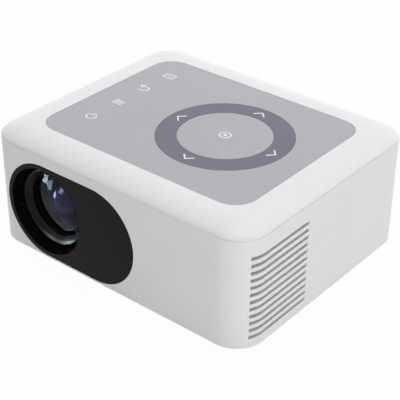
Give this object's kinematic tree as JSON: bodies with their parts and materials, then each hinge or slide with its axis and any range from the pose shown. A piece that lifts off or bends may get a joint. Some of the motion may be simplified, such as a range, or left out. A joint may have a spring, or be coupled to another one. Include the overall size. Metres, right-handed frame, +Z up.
{
  "type": "projector with built-in disc player",
  "caption": "Box-shaped desktop projector with a recessed lens, touch panel on top, side vents and a slim disc tray that slides out of its left side.",
  "frame": {"origin": "middle of the footprint, on the surface that the rubber feet stand on", "axes": "+X to the right as seen from the front, with the lens at -X; +Y to the back; +Z up"},
  "size_m": [0.23, 0.193, 0.0936],
  "materials": {
    "shell_white": "satin moulded white plastic",
    "panel_grey": "satin grey panel",
    "ring_grey": "satin blue-grey pad",
    "print_white": "screen print",
    "bezel_black": "gloss black plastic",
    "black_plastic": "matt black plastic",
    "grey_plastic": "matt dark grey plastic",
    "tray_plastic": "textured charcoal plastic",
    "lens_glass": "coated optical glass",
    "mirror_glass": "first-surface mirror",
    "lcd_glass": "picture panel",
    "ir_plastic": "dark red window",
    "aluminium": "extruded aluminium",
    "sheet_steel": "zinc plated sheet",
    "steel": "machined steel",
    "brass": "turned brass",
    "board_green": "solder mask on laminate",
    "component_black": "moulded packages",
    "component_amber": "wound and sleeved components",
    "filter_grey": "open filter mesh",
    "rubber": "moulded rubber",
    "paper_black": "pressed paper cone"
  },
  "bodies": {
    "housing": {"main_shell": "shell_white", "top_cover": "shell_white", "bottom_cover": "shell_white", "control_panel": "panel_grey", "ring_pad": "ring_grey", "panel_icons": "print_white", "lens_bezel": "bezel_black", "exhaust_frame": "black_plastic", "intake_frame": "black_plastic", "port_panel": "black_plastic", "audio_jacks": "black_plastic", "mains_inlet": "black_plastic", "engine_box": "black_plastic", "engine_lid": "black_plastic", "lens_mount": "grey_plastic", "fresnel_lenses": "lens_glass", "condenser_lens": "lens_glass", "fold_mirror": "mirror_glass", "lcd_panel": "lcd_glass", "ir_window": "ir_plastic", "heat_sink": "aluminium", "led_module": "aluminium", "drive_bracket": "sheet_steel", "drive_chassis": "sheet_steel", "drive_cover": "sheet_steel", "speaker_frames": "sheet_steel", "screws": "steel", "hdmi_sockets": "steel", "usb_sockets": "steel", "focus_motor": "steel", "tripod_insert": "brass", "touch_board": "board_green", "main_board": "board_green", "power_board": "board_green", "board_components": "component_black", "power_components": "component_amber", "dust_filter": "filter_grey", "rubber_feet": "rubber", "speaker_cones": "paper_black"},
    "tray": {"disc_tray": "tray_plastic", "tray_bezel": "shell_white", "traverse_plate": "sheet_steel", "spindle_motor": "steel", "guide_rods": "steel", "sled_motor": "steel"},
    "rails": {"slide_rails": "sheet_steel"},
    "eject": {"eject_button": "shell_white"},
    "spindle": {"spindle_hub": "steel"},
    "pickup": {"pickup_sled": "black_plastic"},
    "sled_screw": {"lead_screw": "brass"},
    "focus": {"focus_ring": "grey_plastic"},
    "pinion": {"focus_pinion": "grey_plastic"},
    "lens": {"lens_barrel": "grey_plastic", "front_element": "lens_glass", "inner_elements": "lens_glass", "lens_retainer": "black_plastic"},
    "exhaust": {"exhaust_rotor": "grey_plastic"},
    "intake": {"intake_rotor": "grey_plastic"},
    "foot": {"foot_pad": "rubber"},
    "foot_turn": {"foot_screw": "steel"}
  },
  "joints": [
    {"name": "tray_slide", "type": "slide", "parent": "housing", "child": "tray", "axis": [-1, 0, 0], "range_m": [0, 0.127]},
    {"name": "rail_slide", "type": "slide", "parent": "housing", "child": "rails", "axis": [-1, 0, 0], "range_m": [0, 0.0635]},
    {"name": "eject_press", "type": "slide", "parent": "tray", "child": "eject", "axis": [1, 0, 0], "range_m": [0, 0.0008], "stiffness_N_per_m": 400},
    {"name": "spindle_spin", "type": "hinge", "parent": "tray", "child": "spindle", "pos_m": [-0.048, 0, 0.0755], "axis": [0, 0, 1], "continuous": true},
    {"name": "pickup_slide", "type": "slide", "parent": "tray", "child": "pickup", "axis": [-0.7071, -0.7071, 0], "range_m": [0, 0.03]},
    {"name": "sled_screw_spin", "type": "hinge", "parent": "tray", "child": "sled_screw", "pos_m": [-0.04687, -0.02291, 0.075], "axis": [-0.7071, -0.7071, 0], "range_deg": [0, 3600]},
    {"name": "focus_turn", "type": "hinge", "parent": "housing", "child": "focus", "pos_m": [-0.0617, -0.0716, 0.0422], "axis": [0, 1, 0], "range_deg": [-30, 30]},
    {"name": "lens_travel", "type": "slide", "parent": "housing", "child": "lens", "axis": [0, -1, 0], "range_m": [-0.0025, 0.0025]},
    {"name": "pinion_spin", "type": "hinge", "parent": "housing", "child": "pinion", "pos_m": [-0.09695, -0.0688, 0.0422], "axis": [0, 1, 0], "range_deg": [-190, 190]},
    {"name": "exhaust_spin", "type": "hinge", "parent": "housing", "child": "exhaust", "pos_m": [0.1028, -0.048, 0.042], "axis": [1, 0, 0], "continuous": true},
    {"name": "intake_spin", "type": "hinge", "parent": "housing", "child": "intake", "pos_m": [-0.104, 0.049, 0.037], "axis": [1, 0, 0], "continuous": true},
    {"name": "foot_extend", "type": "slide", "parent": "housing", "child": "foot", "axis": [0, 0, -1], "range_m": [0, 0.012]},
    {"name": "foot_turn", "type": "hinge", "parent": "foot", "child": "foot_turn", "pos_m": [0, -0.082, 0.003], "axis": [0, 0, -1], "range_deg": [0, 3456]}
  ],
  "couplings": [
    {"joint": "rail_slide", "follows": "tray_slide", "ratio": 0.5},
    {"joint": "sled_screw_spin", "follows": "pickup_slide", "rad_per_m": 2094.4},
    {"joint": "focus_turn", "follows": "lens_travel", "rad_per_m": 209.44},
    {"joint": "pinion_spin", "follows": "lens_travel", "rad_per_m": -1326.5},
    {"joint": "foot_turn", "follows": "foot_extend", "rad_per_m": 5026.5}
  ]
}
